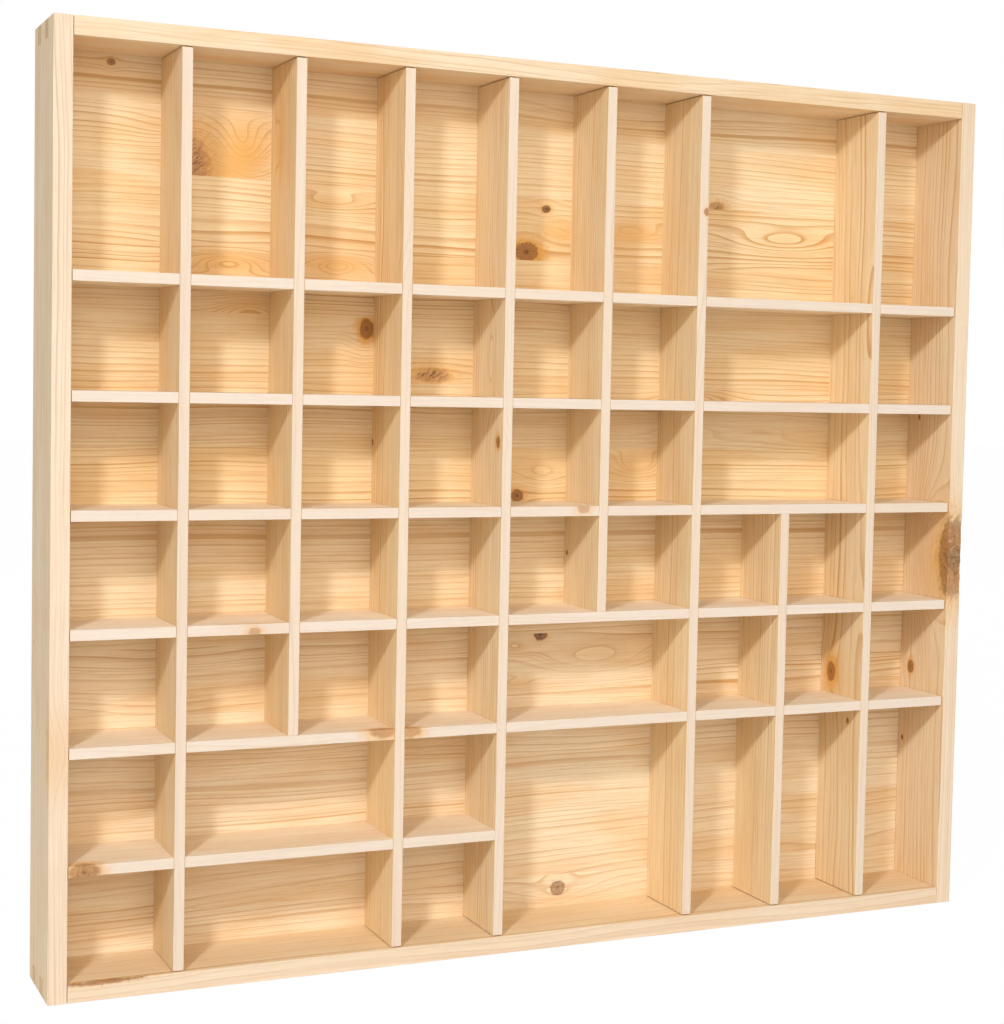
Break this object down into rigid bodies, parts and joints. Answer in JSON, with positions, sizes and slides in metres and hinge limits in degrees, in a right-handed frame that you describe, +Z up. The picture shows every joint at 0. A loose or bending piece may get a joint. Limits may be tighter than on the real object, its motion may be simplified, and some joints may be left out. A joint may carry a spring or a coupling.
{
  "type": "type case",
  "caption": "Open-fronted pine type case with finger-jointed frame, halved lattice of compartments and a glued stave back, for wall or shelf.",
  "frame": {"origin": "middle of the bottom face that the case stands on", "axes": "+X along the width to the viewer's right, +Y from the open front to the back, +Z up"},
  "size_m": [0.6, 0.056, 0.535],
  "materials": {
    "frame_pine": "planed, unfinished pine with light arrises",
    "lattice_pine": "planed, unfinished pine, thin strips",
    "panel_pine": "sanded, unfinished pine, knotty glued staves",
    "zinc_steel": "zinc plated"
  },
  "bodies": {
    "root": {"left_side": "frame_pine", "right_side": "frame_pine", "top_board": "frame_pine", "bottom_board": "frame_pine", "upright_1": "lattice_pine", "upright_2": "lattice_pine", "upright_3": "lattice_pine", "upright_4": "lattice_pine", "upright_5": "lattice_pine", "upright_6": "lattice_pine", "upright_7": "lattice_pine", "upright_8": "lattice_pine", "shelf_1": "lattice_pine", "shelf_2": "lattice_pine", "shelf_3": "lattice_pine", "shelf_4": "lattice_pine", "shelf_5": "lattice_pine", "shelf_6": "lattice_pine", "back_stave_01": "panel_pine", "back_stave_02": "panel_pine", "back_stave_03": "panel_pine", "back_stave_04": "panel_pine", "back_stave_05": "panel_pine", "back_stave_06": "panel_pine", "back_stave_07": "panel_pine", "back_stave_08": "panel_pine", "back_stave_09": "panel_pine", "back_stave_10": "panel_pine", "back_stave_11": "panel_pine", "back_stave_12": "panel_pine", "back_stave_13": "panel_pine", "back_stave_14": "panel_pine", "back_pins": "zinc_steel", "hanger_left": "zinc_steel", "hanger_right": "zinc_steel", "hanger_screws": "zinc_steel"}
  },
  "joints": []
}
